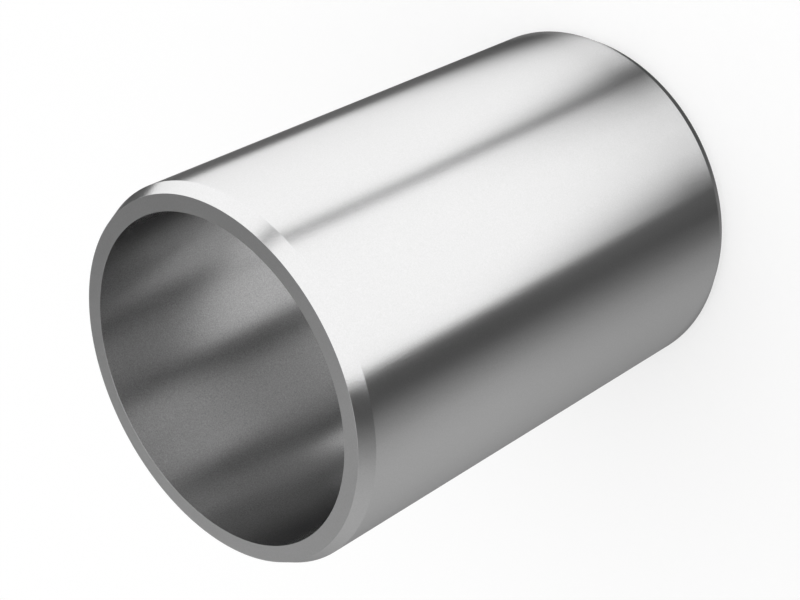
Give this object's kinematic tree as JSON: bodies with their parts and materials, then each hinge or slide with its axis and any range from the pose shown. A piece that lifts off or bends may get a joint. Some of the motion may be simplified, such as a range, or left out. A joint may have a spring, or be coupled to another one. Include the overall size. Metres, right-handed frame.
{
  "type": "thrust pin",
  "caption": "Hollow steel thrust pin: a thin-walled round sleeve, open right through, with a shallow lead-in chamfer on the outer edge of each end.",
  "frame": {"origin": "middle of the end face that the pin stands on, on the pin's axis", "axes": "+Z along the pin's axis, from the end it stands on to the other end, which is the one that faces the camera in the picture; X and Y are free, because the pin is round"},
  "size_m": [0.018, 0.018, 0.026],
  "materials": {
    "ground_steel": "satin"
  },
  "bodies": {
    "root": {"thrust_pin": "ground_steel"}
  },
  "joints": []
}
